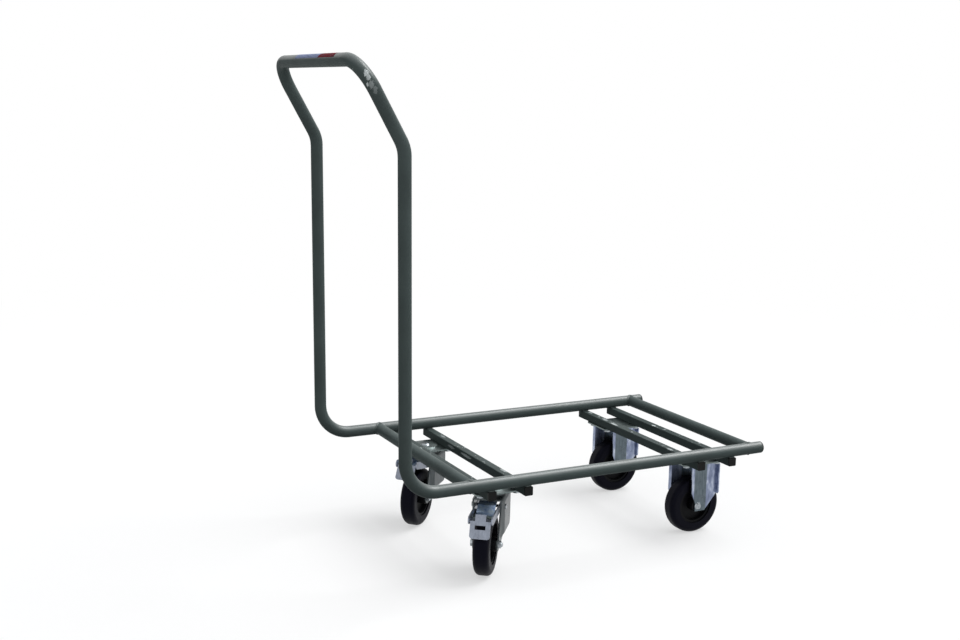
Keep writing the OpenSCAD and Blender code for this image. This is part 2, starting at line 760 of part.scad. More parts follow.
// Fixed fork: web under the plate, legs with a raised middle and one wide flange each
module fixed_leg(reach) {
  slab(fork_t, leg_in)
    polygon([[-rib_x, plate_z], [rib_x, plate_z], [rib_x, tip_z], [-tip_back, tip_z],
             [-tip_back, (tip_z + edge_z) / 2 - 3], [-rib_x, edge_z]]);
  slab(fork_t, flange_y)
    polygon([[rib_x - fork_t, plate_z], [reach, plate_z], [reach, flange_z],
             [tip_front, tip_z], [rib_x - fork_t, tip_z]]);
  slab(leg_out - flange_y, flange_y)
    polygon([[rib_x - fork_t, plate_z], [rib_x, plate_z], [rib_x, tip_z], [rib_x - fork_t, tip_z]]);
  slab(fork_t + lip, flange_y)
    polygon([[reach - fork_t, plate_z - bolt_head - 2], [reach, plate_z - bolt_head - 2],
             [reach, flange_z], [reach - fork_t, flange_z - fork_t]]);
}
module fixed_fork(side) {
  color("#9aa5b1") at_front(side) difference() {
    union() {
      translate([-flange_rear, -flange_y - fork_t, plate_z - fork_t])
        cube([flange_front + flange_rear, 2 * (flange_y + fork_t), fork_t]);
      mirror([0, 1, 0]) fixed_leg(flange_front);
      mirror([1, 0, 0]) fixed_leg(flange_rear);
    }
    translate([0, 0, wheel_r]) rod(axle_d + 2 * run_gap, 4 * leg_out, -2 * leg_out);
  }
}
module front_left_fork() { fixed_fork(left); }
module front_right_fork() { fixed_fork(right); }

module at_front_axle(side) {
  at_front(side) translate([0, 0, wheel_r]) children();
}
module axle_pin(side) {
  color("#b4bac0") at_front_axle(side) {
    rod(axle_d, 2 * leg_out, -leg_out);
    both_ways() translate([0, leg_out, 0]) rotate([-90, 0, 0])
      cylinder(r1 = axle_d, r2 = axle_d * 0.7, h = 3);
  }
}
module front_left_axle_pin() { axle_pin(left); }
module front_right_axle_pin() { axle_pin(right); }
module front_left_axle_sleeve() { color("#9aa2a9") at_front_axle(left) sleeve(); }
module front_right_axle_sleeve() { color("#9aa2a9") at_front_axle(right) sleeve(); }
module front_left_rim() { at_front_axle(left) rim(); }
module front_right_rim() { at_front_axle(right) rim(); }
module front_left_tyre() { at_front_axle(left) tyre(); }
module front_right_tyre() { at_front_axle(right) tyre(); }

push_frame();
rear_cross_tube();
front_cross_tube();
cross_bar_1();
cross_bar_2();
cross_bar_3();
cross_bar_4();
weld_beads();
bar_end_caps();
rail_end_plugs();
rivet_nuts();
plate_bolts();
rear_left_top_plate();
rear_right_top_plate();
rear_left_king_pin();
rear_right_king_pin();
rear_left_balls();
rear_right_balls();
rear_left_fork();
rear_right_fork();
rear_left_axle_bolt();
rear_right_axle_bolt();
rear_left_axle_nut();
rear_right_axle_nut();
rear_left_axle_sleeve();
rear_right_axle_sleeve();
rear_left_rim();
rear_right_rim();
rear_left_tyre();
rear_right_tyre();
rear_left_brake_pedal();
rear_right_brake_pedal();
rear_left_brake_shoe();
rear_right_brake_shoe();
rear_left_pivot_pin();
rear_right_pivot_pin();
rear_left_leaf_spring();
rear_right_leaf_spring();
front_left_top_plate();
front_right_top_plate();
front_left_fork();
front_right_fork();
front_left_axle_pin();
front_right_axle_pin();
front_left_axle_sleeve();
front_right_axle_sleeve();
front_left_rim();
front_right_rim();
front_left_tyre();
front_right_tyre();
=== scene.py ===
"""Crate trolley: paint, welds, rubber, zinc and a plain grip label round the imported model."""
import json
import math
import random

import bpy
from mathutils import Matrix, Vector

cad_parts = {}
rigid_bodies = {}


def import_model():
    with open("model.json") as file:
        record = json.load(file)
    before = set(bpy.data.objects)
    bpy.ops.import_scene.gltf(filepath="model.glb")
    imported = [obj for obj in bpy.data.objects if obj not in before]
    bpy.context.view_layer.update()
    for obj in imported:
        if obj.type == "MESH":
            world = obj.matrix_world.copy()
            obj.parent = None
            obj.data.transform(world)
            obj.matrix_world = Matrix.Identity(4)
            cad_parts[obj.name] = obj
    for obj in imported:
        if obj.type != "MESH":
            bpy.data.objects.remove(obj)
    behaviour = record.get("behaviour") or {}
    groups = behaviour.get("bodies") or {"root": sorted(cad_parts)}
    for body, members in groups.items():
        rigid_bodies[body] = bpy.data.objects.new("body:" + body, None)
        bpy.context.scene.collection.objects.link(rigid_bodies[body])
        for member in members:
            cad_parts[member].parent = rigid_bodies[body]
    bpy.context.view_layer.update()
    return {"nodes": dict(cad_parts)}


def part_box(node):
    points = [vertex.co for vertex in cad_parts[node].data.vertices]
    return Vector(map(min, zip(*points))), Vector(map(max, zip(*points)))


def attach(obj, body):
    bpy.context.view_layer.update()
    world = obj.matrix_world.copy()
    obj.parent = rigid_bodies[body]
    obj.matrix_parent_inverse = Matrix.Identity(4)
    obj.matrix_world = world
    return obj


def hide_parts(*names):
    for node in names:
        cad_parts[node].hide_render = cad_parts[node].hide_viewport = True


for leftover in list(bpy.data.objects):
    bpy.data.objects.remove(leftover)

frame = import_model()
NODES = frame["nodes"]

bl_info = {
    "name": "Crate Trolley",
    "version": (1, 0, 0),
    "blender": (4, 5, 0),
    "location": "3D View > Sidebar > Trolley",
    "description": "Dresses a steel crate trolley: painted tube frame, weld seams, "
                   "casters and brakes",
    "category": "Object",
}

MM = 0.001


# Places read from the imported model

def middle(name):
    low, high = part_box(name)
    return (low + high) / 2


TUBES = ["rear_cross_tube", "front_cross_tube"]
BARS = ["cross_bar_%d" % k for k in (1, 2, 3, 4)]
TUBE_LOW, TUBE_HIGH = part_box("rear_cross_tube")
FRAME_LOW, FRAME_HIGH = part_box("push_frame")
RAIL_D = TUBE_HIGH.z - TUBE_LOW.z
RAIL_Z = middle("rear_cross_tube").z
TRACK = 2 * (FRAME_HIGH.y - RAIL_D / 2)
GRIP_X = FRAME_LOW.x + RAIL_D / 2
GRIP_Z = FRAME_HIGH.z - RAIL_D / 2

# Places where bare steel colour shows, each as centre in metres, reach in millimetres and
# amount. The first ones are chips on the near corner of the push bar; on bars 2 and 3 they
# are rubbed places, on bar 4 a bright streak across the bar's top.
CORNER_CHIPS = [((-0.4455, -0.2332, 0.9640), (8, 8, 12), 1.0),
                ((-0.4428, -0.2370, 0.9570), (7, 7, 9), 0.9),
                ((-0.4440, -0.2355, 0.9450), (4, 4, 7), 1.0),
                ((-0.4385, -0.2398, 0.9450), (9, 7, 13), 0.4),
                ((-0.4320, -0.2416, 0.9350), (7, 6, 14), 0.25),
                ((-0.4609, -0.1790, 0.9855), (3, 3, 4), 0.8),
                ((-0.4602, -0.2104, 0.9713), (3, 3, 4), 0.7)]
BAR_MARKS = {"cross_bar_2": [((-0.1065, 0.1520, 0.182), (6, 20, 3), 0.4),
                             ((-0.1150, 0.0930, 0.175), (5, 28, 6), 0.4),
                             ((-0.1150, 0.0190, 0.175), (5, 44, 6), 0.6),
                             ((-0.1020, -0.1230, 0.182), (6, 24, 4), 0.45)],
             "cross_bar_3": [((0.3095, 0.2050, 0.182), (6, 16, 3), 0.6),
                             ((0.3070, 0.1370, 0.182), (6, 20, 3), 0.6),
                             ((0.3040, 0.0920, 0.182), (6, 26, 3), 0.8),
                             ((0.3025, -0.1310, 0.182), (6, 20, 3), 0.7)],
             "cross_bar_4": [((0.3830, 0.0450, 0.181), (6, 14, 4), 1.0)]}


# Colours and nodes

def linear(code):
    """sRGB hex code as a linear colour with alpha 1."""
    parts = [int(code[k:k + 2], 16) / 255 for k in (1, 3, 5)]
    return (*(v / 12.92 if v <= 0.04045 else ((v + 0.055) / 1.055) ** 2.4 for v in parts), 1.0)


def hex_of(colour):
    """Linear colour of a property as an sRGB hex code."""
    code = "#"
    for v in colour[:3]:
        s = 12.92 * v if v <= 0.0031308 else 1.055 * v ** (1 / 2.4) - 0.055
        code += "%02x" % max(0, min(255, round(s * 255)))
    return code


def lit(code, factor):
    """The hex colour with its linear light multiplied by factor."""
    return hex_of([v * factor for v in linear(code)[:3]])


def add(tree, kind, inputs, output=0, stops=(), **settings):
    """Adds a node with its settings and links, and gives one of its outputs. An input is a
    number, a colour or the output that it is joined to. Stops are places and hex colours."""
    node = tree.nodes.new("ShaderNode" + kind)
    for name, value in settings.items():
        setattr(node, name, value)
    for key, value in inputs.items():
        if isinstance(value, bpy.types.NodeSocket):
            tree.links.new(value, node.inputs[key])
        else:
            node.inputs[key].default_value = value
    for _ in stops[2:]:
        node.color_ramp.elements.new(0.5)
    for k, (place, code) in enumerate(stops):
        node.color_ramp.elements[k].position = place
        node.color_ramp.elements[k].color = linear(code)
    return node.outputs[output]


def on_object(tree, scale=(1, 1, 1), shift=(0, 0, 0)):
    """Object coordinates in millimetres, then scaled and shifted."""
    return add(tree, "Mapping", {"Vector": add(tree, "TexCoord", {}, "Object"), "Location": shift,
                                 "Scale": tuple(v / MM for v in scale)})


def grain(tree, size, detail=3.0, roughness=0.5, scale=(1, 1, 1), shift=(0, 0, 0)):
    """Uneven pattern of the given size in millimetres. A scale below 1 draws it out that way."""
    return add(tree, "TexNoise", {"Vector": on_object(tree, scale, shift), "Scale": 1 / size,
                                  "Detail": detail, "Roughness": roughness})


def patches(tree, low, high, *pattern, **more):
    """Patches of a grain, whose values follow: 0 where it is below low, 1 above high."""
    return add(tree, "MapRange", {"Value": grain(tree, *pattern, **more), "From Min": low,
                                  "From Max": high}, interpolation_type="SMOOTHSTEP")


def near_to(tree, centre, reach):
    """1 at a place on the object in metres, falling to 0 at reach (x, y, z) in millimetres."""
    away = add(tree, "VectorMath", {0: add(tree, "TexCoord", {}, "Object"), 1: centre},
               operation="SUBTRACT")
    scaled = add(tree, "VectorMath", {0: away, 1: tuple(1 / (v * MM) for v in reach)},
                 operation="MULTIPLY")
    far = add(tree, "VectorMath", {0: scaled}, "Value", operation="LENGTH")
    return add(tree, "Math", {0: 1.0, 1: far}, operation="SUBTRACT", use_clamp=True)


def most(tree, values):
    total = values[0]
    for value in values[1:]:
        total = add(tree, "Math", {0: total, 1: value}, operation="MAXIMUM")
    return total


def seen_ray(tree):
    """1 for what the camera sees, straight or in gloss or glass."""
    rays = add(tree, "LightPath", {}).node.outputs
    return most(tree, [rays[name] for name in ("Is Camera Ray", "Is Glossy Ray",
                                               "Is Transmission Ray")])


def upward(tree, normal="Normal"):
    """Upward part of the surface direction, from -1 to 1."""
    return add(tree, "SeparateXYZ", {"Vector": add(tree, "NewGeometry", {}, normal)}, "Z")


def new_material(name, **values):
    """Material with a plain shader. Values that are the same all over sit on its own sockets."""
    material = bpy.data.materials.new(name)
    material.use_nodes = True
    tree = material.node_tree
    shader = tree.nodes["Principled BSDF"]
    for key, value in values.items():
        shader.inputs[key.replace("_", " ")].default_value = value
    return material, tree, shader


def join(tree, shader, relief=None, depth=0.02, strength=0.4, **links):
    """Joins outputs to the shader. Relief is a pattern's height, depth is in millimetres."""
    if relief is not None:
        links["Normal"] = add(tree, "Bump", {"Height": relief, "Distance": depth * MM,
                                             "Strength": strength})
    for key, output in links.items():
        tree.links.new(output, shader.inputs[key.replace("_", " ")])


# Finishes

# Reflection level of the enamel where it doesn't look up, which keeps the sides in painted shade
DULLEST = 0.008


def painted_steel(look, name, chips=(), rubbed=0.0, painted_sheen=1.0, edge_scale=(1, 1, 0.4)):
    """Air-dried enamel sprayed on drawn steel tube: a dark green-grey film, glossy where it
    looks up and dull elsewhere, with slight orange peel, thin scratches that show grey
    undercoat, and chips down to bright steel. The gloss is set by the surface direction: a
    painted highlight on the tops and painted shade on the sides."""
    material, tree, shader = new_material(name)
    # The bars under the crates are a shade darker than the tubes
    base = lit(hex_of(look.paint_colour), 0.75 if rubbed else 1.0)
    film = add(tree, "ValToRGB", {"Fac": grain(tree, 70, 2, 0.45)},
               stops=((0.30, lit(base, 0.90)), (0.55, base), (0.78, lit(base, 1.10))))

    # Dust lies thinly on faces that look up
    level = add(tree, "Math", {0: upward(tree), 1: 1.6, 2: -0.6}, operation="MULTIPLY_ADD",
                use_clamp=True)
    dust = add(tree, "Math", {0: level, 1: patches(tree, 0.42, 0.80, 26, 3, 0.6)},
               operation="MULTIPLY")
    dust = add(tree, "Math", {0: dust, 1: look.dust * 0.3}, operation="MULTIPLY")
    film = add(tree, "Mix", {0: dust, 6: film, 7: linear("#8d958f")}, 2, data_type="RGBA")

    # Hair scratches run along the tube that a crate slides on
    hairs = patches(tree, 0.71, 0.74, 1.3, 2, 0.6, (1, 0.06, 1))
    fields = patches(tree, 0.50, 0.62, 38, 2)
    scratch = add(tree, "Math", {0: hairs, 1: fields}, operation="MULTIPLY")
    scratch = add(tree, "Math", {0: scratch, 1: 0.35 + rubbed * 0.3}, operation="MULTIPLY")
    film = add(tree, "Mix", {0: scratch, 6: film, 7: linear("#7d8785")}, 2, data_type="RGBA")

    worn = []
    if rubbed:
        # Crates rub the bar tops: broken patches of primer, 4 to 12 mm long
        rub = patches(tree, 0.60, 0.64, 5.5, 4, 0.62, (1, 0.45, 1))
        fields = patches(tree, 0.50, 0.60, 60, 2, shift=(0, 7, 0))
        rub = add(tree, "Math", {0: rub, 1: fields}, operation="MULTIPLY")
        top = add(tree, "Math", {0: upward(tree, "True Normal"), 1: 5.0, 2: -4.0},
                  operation="MULTIPLY_ADD", use_clamp=True)
        rub = add(tree, "Math", {0: rub, 1: top}, operation="MULTIPLY")
        worn.append(add(tree, "Math", {0: rub, 1: rubbed}, operation="MULTIPLY"))
    for centre, reach, amount in chips:
        edge = add(tree, "Math", {0: near_to(tree, centre, reach), 1: 0.8,
                                  2: grain(tree, 1.5, 3, 0.6, edge_scale)},
                   operation="MULTIPLY_ADD")
        chip = add(tree, "MapRange", {"Value": edge, "From Min": 0.84, "From Max": 0.92},
                   interpolation_type="SMOOTHSTEP")
        worn.append(add(tree, "Math", {0: chip, 1: amount}, operation="MULTIPLY"))

    peel = grain(tree, 3.5, 1, 0.4)
    rough = add(tree, "MapRange", {"Value": grain(tree, 30, 2), "To Min": 0.32, "To Max": 0.42})
    if worn:
        bare = most(tree, worn)
        film = add(tree, "Mix", {0: bare, 6: film, 7: linear("#ccd3d3")}, 2, data_type="RGBA")
        bare_rough = add(tree, "Math", {0: bare, 1: 0.5}, operation="MULTIPLY")
        rough = add(tree, "Math", {0: rough, 1: bare_rough}, operation="MAXIMUM")
        peel = add(tree, "Math", {0: peel, 1: 0.25}, operation="MULTIPLY")
        peel = add(tree, "Math", {0: peel, 1: bare}, operation="SUBTRACT")
    dusty_rough = add(tree, "Math", {0: dust, 1: 0.9}, operation="MULTIPLY")
    rough = add(tree, "Math", {0: rough, 1: dusty_rough}, operation="MAXIMUM")
    # The reflection level follows the surface direction: a painted highlight on the faces that look
    # up, almost none on the sides
    bright = add(tree, "MapRange", {"Value": upward(tree), "From Min": 0.15, "From Max": 1.0},
                 interpolation_type="SMOOTHSTEP")
    bright = add(tree, "Math", {0: bright, 1: look.paint_gloss * painted_sheen, 2: DULLEST},
                 operation="MULTIPLY_ADD")
    join(tree, shader, peel, 0.03, 0.5, Base_Color=film, Roughness=rough,
         Specular_IOR_Level=bright)
    return material


def zinc_sheet(look, name, code=None, flange=None):
    """Electroplated zinc with a blue chromate dip on rolled sheet: a cool grey metal, faintly
    streaked along the rolling, duller and browner in patches where road dirt has dried. On a
    stepped fork the flanges, away from its middle at x = flange, are painted a paler blue: a
    painted reflection."""
    material, tree, shader = new_material(name, Metallic=0.8, Specular_IOR_Level=0.1)
    # A code given here makes a lighter or darker copy of the same plating: painted light and shade
    base = code or hex_of(look.zinc_colour)
    cloud = grain(tree, 16, 4, 0.6)
    film = add(tree, "ValToRGB", {"Fac": cloud},
               stops=((0.25, lit(base, 0.72)), (0.5, base), (0.75, lit(base, 1.25))))
    streaks = add(tree, "ValToRGB", {"Fac": grain(tree, 2.6, 3, 0.6, (1, 1, 0.12))},
                  stops=((0.3, "#4b5157"), (0.7, "#b4bcc6")))
    film = add(tree, "Mix", {0: 0.16, 6: film, 7: streaks}, 2, data_type="RGBA")
    if flange is not None:
        x = add(tree, "SeparateXYZ", {"Vector": on_object(tree)}, "X")
        off = add(tree, "Math", {0: x, 1: flange / MM}, operation="SUBTRACT")
        off = add(tree, "Math", {0: off}, operation="ABSOLUTE")
        # The flanges' paler blue is a painted reflection
        blue = add(tree, "ValToRGB", {"Fac": grain(tree, 12, 3, 0.6, (1, 1, 0.4))},
                   stops=((0.3, "#687088"), (0.52, "#8f99b2"), (0.72, "#c8d0de")))
        web = look.web_half / MM
        flange_reflection_mask = add(tree, "MapRange", {"Value": off, "From Min": web - 1, "From Max": web + 1},
                    interpolation_type="SMOOTHSTEP")
        film = add(tree, "Mix", {0: flange_reflection_mask, 6: film, 7: blue}, 2, data_type="RGBA")
    dirt = patches(tree, 0.58, 0.74, 7, 5, 0.7, shift=(3, 1, 5))
    cover = add(tree, "Math", {0: dirt, 1: 0.45}, operation="MULTIPLY")
    film = add(tree, "Mix", {0: cover, 6: film, 7: linear("#45463f")}, 2, data_type="RGBA")
    rough = add(tree, "MapRange", {"Value": cloud, "To Min": 0.20, "To Max": 0.40})
    dirt_rough = add(tree, "Math", {0: dirt, 1: 0.18}, operation="MULTIPLY")
    rough = add(tree, "Math", {0: rough, 1: dirt_rough}, operation="ADD")
    join(tree, shader, grain(tree, 1.4), 0.02, 0.5, Base_Color=film, Roughness=rough)
    return material


def zinc_fastener():
    """Cold-formed steel bolts and nuts, barrel plated: brighter than the sheet, fine die lines."""
    material, tree, shader = new_material("bright zinc on forged steel", Metallic=1.0)
    film = add(tree, "ValToRGB", {"Fac": grain(tree, 5, 4, 0.6)},
               stops=((0.3, "#7f868b"), (0.6, "#a9afb3"), (0.8, "#c8cdd0")))
    rough = add(tree, "MapRange", {"Value": grain(tree, 3, 3, 0.6), "To Min": 0.2, "To Max": 0.42})
    join(tree, shader, grain(tree, 0.9, 2), Base_Color=film, Roughness=rough)
    return material


def polished_balls():
    """Hardened chrome steel bearing balls, ground and greased: near mirror, a little oil film."""
    material, tree, shader = new_material("ground bearing steel", Metallic=1.0, Roughness=0.12)
    film = add(tree, "ValToRGB", {"Fac": grain(tree, 3, 2)},
               stops=((0.4, "#8e9095"), (0.7, "#d0d2d6")))
    join(tree, shader, Base_Color=film)
    return material


def blued_spring():
    """Spring steel strip tempered blue: pale blue metal, greyer where it is rubbed."""
    material, tree, shader = new_material("tempered spring strip", Metallic=0.75, Roughness=0.35)
    film = add(tree, "ValToRGB", {"Fac": grain(tree, 9, 4, 0.6)},
               stops=((0.28, "#7088b0"), (0.5, "#9fb4d0"), (0.78, "#c4d2d6")))
    join(tree, shader, grain(tree, 1.1, 2, 0.5, (0.1, 1, 1)), Base_Color=film)
    return material


def tyre_rubber(look):
    """Moulded black rubber: a matt black with a faint violet bloom, ground-in floor dust on the
    tread and fine grain from the mould."""
    material, tree, shader = new_material("moulded black rubber", Specular_IOR_Level=0.1,
                                          Specular_Tint=linear("#c4c6ff"))
    base = hex_of(look.rubber_colour)
    film = add(tree, "ValToRGB", {"Fac": grain(tree, 22, 4, 0.6)},
               stops=((0.3, lit(base, 0.75)), (0.6, base), (0.8, lit(base, 1.6))))
    dust = patches(tree, 0.50, 0.78, 3.2, 6, 0.72)
    dust = add(tree, "Math", {0: dust, 1: look.dust * 0.3}, operation="MULTIPLY")
    film = add(tree, "Mix", {0: dust, 6: film, 7: linear("#2c2c31")}, 2, data_type="RGBA")
    rough = add(tree, "MapRange", {"Value": grain(tree, 8, 4, 0.6), "To Min": 0.36, "To Max": 0.6})
    join(tree, shader, grain(tree, 0.8, 3, 0.6), 0.04, 0.5, Base_Color=film, Roughness=rough)
    return material


def moulded_plastic(name, code, grain_size, gloss):
    """Injection-moulded polyolefin: even black with spark-eroded grain and a soft sheen."""
    material, tree, shader = new_material(name, Specular_IOR_Level=0.12)
    film = add(tree, "ValToRGB", {"Fac": grain(tree, 12, 3, 0.6)},
               stops=((0.3, lit(code, 0.8)), (0.7, lit(code, 1.25))))
    scuff = patches(tree, 0.66, 0.72, 1.6, 4, 0.66, (1, 0.3, 1))
    scuff = add(tree, "Math", {0: scuff, 1: 0.35}, operation="MULTIPLY")
    film = add(tree, "Mix", {0: scuff, 6: film, 7: linear("#4c5052")}, 2, data_type="RGBA")
    rough = add(tree, "MapRange", {"Value": grain(tree, 5, 3, 0.6), "To Min": gloss - 0.08,
                                   "To Max": gloss + 0.12})
    join(tree, shader, grain(tree, grain_size, 2), 0.03, 0.5, Base_Color=film, Roughness=rough)
    return material


def label_film(look):
    """Self-adhesive vinyl: two plain fields of colour, satin, with rubbed streaks and nicks."""
    material, tree, shader = new_material("satin vinyl film", Roughness=0.5,
                                          Specular_IOR_Level=0.015)
    # The fields meet on a line that leans across the film
    lean = 0.6
    spot = add(tree, "SeparateXYZ", {"Vector": on_object(tree)}).node.outputs
    across = add(tree, "Math", {0: spot["X"], 1: lean}, operation="MULTIPLY")
    line = add(tree, "Math", {0: spot["Y"], 1: across}, operation="ADD")
    split = (look.label_split + lean * GRIP_X) / MM
    field = add(tree, "MapRange", {"Value": line, "From Min": split - 0.4,
                                   "From Max": split + 0.4}, interpolation_type="SMOOTHSTEP")
    film = add(tree, "Mix", {0: field, 6: (*look.label_second, 1), 7: (*look.label_first, 1)}, 2,
               data_type="RGBA")
    # Rubbing along the bar has left broken darker streaks
    streak = patches(tree, 0.50, 0.66, 2.6, 4, 0.6, (1, 0.16, 1))
    streak = add(tree, "Math", {0: streak, 1: 0.55}, operation="MULTIPLY")
    film = add(tree, "Mix", {0: streak, 6: film, 7: linear("#4a5266")}, 2, data_type="RGBA")
    nick = patches(tree, 0.68, 0.72, 2.2, 4, 0.7, (1, 0.4, 1))
    film = add(tree, "Mix", {0: nick, 6: film, 7: linear("#3b4443")}, 2, data_type="RGBA")
    join(tree, shader, grain(tree, 3), Base_Color=film)
    return material


def white_board(shadow):
    """Matt painted board: white, faintly uneven, fading to plain white far out."""
    material, tree, shader = new_material("matt white board", Roughness=0.9,
                                          Specular_IOR_Level=0.1)
    tone = add(tree, "ValToRGB", {"Fac": grain(tree, 300)},
               stops=((0.2, "#f4f4f4"), (0.8, "#f6f6f6")))
    # The board's own light on the trolley is that of a grey workshop floor
    tone = add(tree, "Mix", {0: seen_ray(tree), 6: linear("#8a8c8c"), 7: tone}, 2, data_type="RGBA")
    join(tree, shader, Base_Color=tone)
    # What is seen is part plain white, so that the shadow stays faint
    plain = add(tree, "Math", {0: seen_ray(tree), 1: 1 - shadow}, operation="MULTIPLY")
    share = add(tree, "Math", {0: 1.0, 1: plain}, operation="SUBTRACT")
    inner = add(tree, "MapRange", {"Value": near_to(tree, (0, 0, 0), (3600, 3600, 3600)),
                                   "From Min": 0.05, "From Max": 0.55},
                interpolation_type="SMOOTHSTEP")
    share = add(tree, "Math", {0: inner, 1: share}, operation="MULTIPLY")
    glow = add(tree, "Emission", {"Color": (1, 1, 1, 1), "Strength": 1.0})
    both = add(tree, "MixShader", {0: share, 1: glow, 2: shader.outputs[0]})
    tree.links.new(both, tree.nodes["Material Output"].inputs["Surface"])
    return material


# Meshes

def build_object(name, verts, faces, material, body):
    mesh = bpy.data.meshes.new(name)
    mesh.from_pydata([tuple(v) for v in verts], [], faces)
    mesh.validate()
    mesh.materials.append(material)
    mesh.polygons.foreach_set("use_smooth", [True] * len(mesh.polygons))
    piece = bpy.data.objects.new(name, mesh)
    bpy.context.scene.collection.objects.link(piece)
    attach(piece, body)
    return piece


def give(node, material):
    """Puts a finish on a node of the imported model."""
    mesh = NODES[node].data
    mesh.materials.clear()
    mesh.materials.append(material)


def ring_strip(rings, closed_along, closed_round):
    """Faces of a strip of rings of points, numbered ring after ring."""
    count = len(rings[0])
    faces = []
    last = len(rings) if closed_along else len(rings) - 1
    for i in range(last):
        for j in range(count if closed_round else count - 1):
            a, b = i * count, ((i + 1) % len(rings)) * count
            faces.append((a + j, a + (j + 1) % count, b + (j + 1) % count, b + j))
    return faces


def bead(path, normals, closed, step, ripple, width, height, draw):
    """Weld bead: a rippled half-round laid along a path, its width uneven as a hand weld is.
    Width and height are half sizes in metres. An open bead runs out over three steps."""
    around, run_out = 10, 3
    rings = []
    total = len(path)
    for k, (spot, normal) in enumerate(zip(path, normals)):
        ahead = path[(k + 1) % total] if closed or k + 1 < total else spot
        behind = path[k - 1] if closed or k else spot
        along = (ahead - behind).normalized()
        side = along.cross(normal).normalized()
        phase = k * step / ripple * 2 * math.pi
        taper = 1.0
        if not closed:
            taper = min(1.0, 0.25 + 0.75 * min(k, total - 1 - k) / run_out)
        w = width * (1 + 0.13 * math.cos(phase) + draw.uniform(-0.07, 0.07)) * taper
        h = height * (1 + 0.22 * math.cos(phase - 0.9) + draw.uniform(-0.08, 0.08)) * taper
        turns = [2 * math.pi * j / around for j in range(around)]
        rings.append([spot + side * (math.cos(a) * w) + normal * (math.sin(a) * h) for a in turns])
    verts = [v for ring in rings for v in ring]
    faces = ring_strip(rings, closed, True)
    if not closed:
        faces += [tuple(range(around - 1, -1, -1)), tuple(range(len(verts) - around, len(verts)))]
    return verts, faces


class Merged:
    """Collects several meshes into one."""

    def __init__(self):
        self.verts = []
        self.faces = []

    def take(self, verts, faces):
        start = len(self.verts)
        self.verts += list(verts)
        self.faces += [tuple(start + k for k in face) for face in faces]


# Settings

def colour_property(name, description, code):
    return bpy.props.FloatVectorProperty(
        name=name, description=description, subtype="COLOR", size=3, min=0, max=1,
        default=linear(code)[:3])


class TrolleyFinish(bpy.types.PropertyGroup):
    paint_colour: colour_property("Paint", "Colour of the enamel on the frame", "#525c5b")
    paint_gloss: bpy.props.FloatProperty(
        name="Paint gloss", description="Strength of the enamel's reflection where it looks up",
        default=0.8, min=0, max=1, subtype="FACTOR")
    zinc_colour: colour_property("Zinc", "Colour of the plated sheet of the casters", "#6a7572")
    web_half: bpy.props.FloatProperty(
        name="Fork web", description="Half width of the raised middle of a fixed fork",
        default=17 * MM, unit="LENGTH")
    rubber_colour: colour_property("Rubber", "Colour of the tyres", "#070709")
    dust: bpy.props.FloatProperty(
        name="Dust", description="How much dust lies on the paint and the tyres",
        default=0.25, min=0, max=1, subtype="FACTOR")
    label_first: colour_property(
        "Label, first field", "Colour of the label's field on the left", "#8d98ba")
    label_second: colour_property(
        "Label, second field", "Colour of the label's field on the right", "#6d0f1c")
    label_split: bpy.props.FloatProperty(
        name="Label split", description="Where along the bar the two fields meet",
        default=-0.057, unit="LENGTH")


class TrolleySizes(bpy.types.PropertyGroup):
    weld_width: bpy.props.FloatProperty(
        name="Weld width", description="Half width of a weld bead", default=2.6 * MM,
        unit="LENGTH")
    weld_ripple: bpy.props.FloatProperty(
        name="Weld ripple", description="Distance from one ripple of a bead to the next",
        default=2.4 * MM, unit="LENGTH")
    label_start: bpy.props.FloatProperty(
        name="Label start", description="Right end of the label along the bar",
        default=-0.134, unit="LENGTH")
    label_end: bpy.props.FloatProperty(
        name="Label end", description="Left end of the label along the bar",
        default=0.078, unit="LENGTH")
    label_thick: bpy.props.FloatProperty(
        name="Label thickness", description="Thickness of the vinyl film", default=0.12 * MM,
        unit="LENGTH")


class TrolleyStage(bpy.types.PropertyGroup):
    camera_place: bpy.props.FloatVectorProperty(
        name="Camera place", description="Where the camera stands",
        default=(-1.2611, -2.2760, 0.9371), subtype="TRANSLATION", unit="LENGTH")
    camera_yaw: bpy.props.FloatProperty(
        name="Camera yaw", description="Turn of the view from the trolley's left",
        default=0.4724, subtype="ANGLE")
    camera_pitch: bpy.props.FloatProperty(
        name="Camera pitch", description="How far the camera looks down", default=0.1806,
        subtype="ANGLE")
    camera_roll: bpy.props.FloatProperty(
        name="Camera roll", description="Tilt of the picture", default=-0.0190, subtype="ANGLE")
    lens: bpy.props.FloatProperty(
        name="Lens", description="Focal length on a 36 mm wide sensor, in millimetres",
        default=46.98)
    floor_size: bpy.props.FloatProperty(
        name="Floor", description="Width of the floor", default=16.0, unit="LENGTH")
    shadow: bpy.props.FloatProperty(
        name="Shadow", description="Strength of the shadow on the floor", default=0.45, min=0,
        max=1, subtype="FACTOR")


# Operators

class TROLLEY_OT_frame(bpy.types.Operator):
    """Paints the bent frame, the cross tubes and the square bars"""
    bl_idname = "trolley.frame"
    bl_label = "Frame Paint"

    def execute(self, context):
        look = context.scene.trolley_finish
        give("push_frame", painted_steel(look, "gloss enamel on bent tube", CORNER_CHIPS))
        # The cross tubes and bars reflect far less than the rails: almost none of the painted
        # highlight on their tops
        plain = painted_steel(look, "gloss enamel on round tube", painted_sheen=0.03)
        for name in TUBES:
            give(name, plain)
        for name in BARS:
            give(name, painted_steel(look, "gloss enamel on square tube " + name[-1],
                                     BAR_MARKS.get(name, ()), rubbed=0.85, painted_sheen=0.02,
                                     edge_scale=(1, 0.4, 1)))
        return {"FINISHED"}


